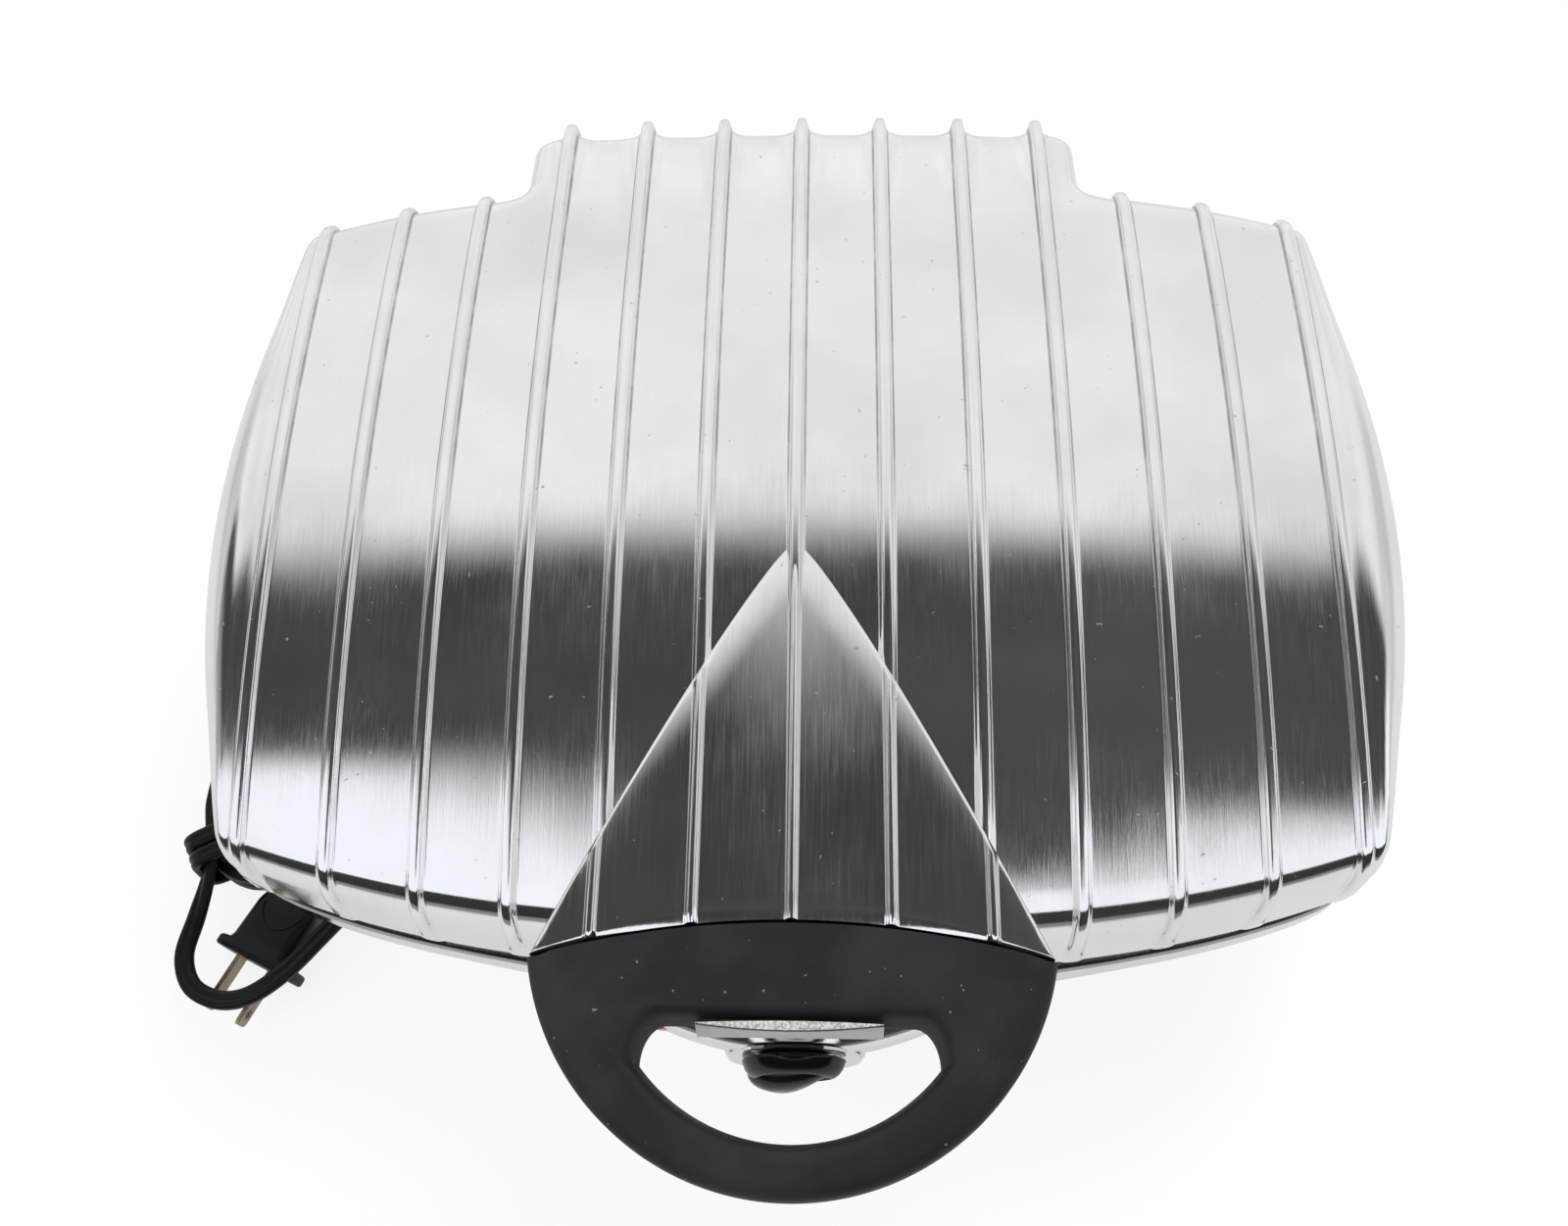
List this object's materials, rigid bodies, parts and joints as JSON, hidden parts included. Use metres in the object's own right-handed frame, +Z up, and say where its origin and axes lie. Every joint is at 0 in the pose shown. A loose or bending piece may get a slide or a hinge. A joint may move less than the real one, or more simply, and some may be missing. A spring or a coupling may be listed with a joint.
{
  "type": "contact grill",
  "caption": "Countertop contact grill: polished ribbed aluminium lid on a floating hinge, black half-moon handle, control knob, slide-out drip tray, tied cord with plug.",
  "frame": {"origin": "on the surface that the feet stand on, under the middle of the grill's bounding box without its cord", "axes": "+X to the grill's right seen from the front, -Y to the front with the handle, +Z up"},
  "size_m": [0.392, 0.3573, 0.1395],
  "materials": {
    "polished_aluminium": "polished cast",
    "black_phenolic": "matte, textured",
    "silver_plate": "satin",
    "gloss_black": "gloss",
    "non_stick": "dark non-stick coating",
    "heater_sheath": "heat-darkened",
    "galvanised_sheet": "plain sheet",
    "steel": "zinc plated",
    "ceramic": "matte ceramic",
    "rubber": "matte",
    "cord_black": "satin",
    "blade_metal": "tarnished",
    "red_lens": "gloss",
    "amber_lens": "gloss"
  },
  "bodies": {
    "base": {"base_shell": "polished_aluminium", "dial_plate": "silver_plate", "lower_plate": "non_stick", "lower_heater": "heater_sheath", "lower_reflector": "galvanised_sheet", "bottom_cover": "galvanised_sheet", "tray_runner_left": "galvanised_sheet", "tray_runner_right": "galvanised_sheet", "drain_spout": "galvanised_sheet", "hinge_guide_left": "steel", "hinge_guide_right": "steel", "cover_screw_front_left": "steel", "cover_screw_front_right": "steel", "cover_screw_rear_left": "steel", "cover_screw_rear_right": "steel", "thermostat": "ceramic", "terminal_block": "ceramic", "foot_front_left": "rubber", "foot_front_right": "rubber", "foot_rear_left": "rubber", "foot_rear_right": "rubber", "cord_gland": "rubber", "cord_tie": "rubber", "cord_lead": "cord_black", "cord_hank": "cord_black", "cord_tail": "cord_black", "plug_body": "cord_black", "plug_blade_left": "blade_metal", "plug_blade_right": "blade_metal", "power_lamp": "red_lens", "ready_lamp": "amber_lens"},
    "hinge_carriage": {"hinge_pin": "steel", "hinge_leg_left": "steel", "hinge_leg_right": "steel", "hinge_clip_left": "steel", "hinge_clip_right": "steel"},
    "lid": {"lid_shell": "polished_aluminium", "lid_liner": "galvanised_sheet", "upper_plate": "non_stick", "upper_heater": "heater_sheath", "handle": "black_phenolic", "nameplate": "silver_plate", "handle_screw_left": "steel", "handle_screw_right": "steel", "liner_screw_front_left": "steel", "liner_screw_front_right": "steel", "liner_screw_rear_left": "steel", "liner_screw_rear_right": "steel"},
    "knob": {"knob": "gloss_black", "knob_shaft": "steel"},
    "drip_tray": {"drip_tray": "galvanised_sheet"}
  },
  "joints": [
    {"name": "hinge_float", "type": "slide", "parent": "base", "child": "hinge_carriage", "axis": [0, 0, 1], "range_m": [0, 0.02]},
    {"name": "lid_hinge", "type": "hinge", "parent": "hinge_carriage", "child": "lid", "pos_m": [0, 0.1496, 0.086], "axis": [-1, 0, 0], "range_deg": [0, 100]},
    {"name": "knob_turn", "type": "hinge", "parent": "base", "child": "knob", "pos_m": [0, -0.1228, 0.05], "axis": [0, -1, 0], "range_deg": [0, 270]},
    {"name": "drip_tray_slide", "type": "slide", "parent": "base", "child": "drip_tray", "axis": [0, 1, 0], "range_m": [0, 0.1]}
  ]
}
